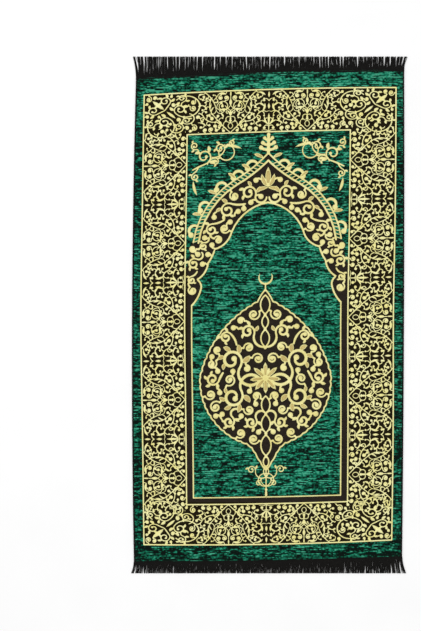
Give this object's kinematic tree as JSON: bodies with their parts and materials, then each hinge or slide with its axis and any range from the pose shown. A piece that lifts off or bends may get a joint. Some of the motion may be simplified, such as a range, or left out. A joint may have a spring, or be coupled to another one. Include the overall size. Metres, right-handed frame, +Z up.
{
  "type": "prayer rug",
  "caption": "Flat woven prayer rug with a pointed-arch niche, a wide figured border, overlocked side edges and yarn fringes at both ends.",
  "frame": {"origin": "on the surface the rug lies on, under the middle of the whole rug", "axes": "+Y along the rug towards its arch end, +X across it to the right as seen from above, +Z up"},
  "size_m": [0.6364, 1.199, 0.003],
  "materials": {
    "green_chenille": "soft chenille pile with light and dark streaks",
    "gold_yarn": "pale gold figure yarn, softly lustrous",
    "brown_ground": "flat woven brown-black ground with a fine rib",
    "black_yarn": "matt spun yarn"
  },
  "bodies": {
    "root": {"rug_cloth": "green_chenille", "side_overlock_left": "black_yarn", "side_overlock_right": "black_yarn", "fringe_top": "black_yarn", "fringe_bottom": "black_yarn"}
  },
  "joints": []
}
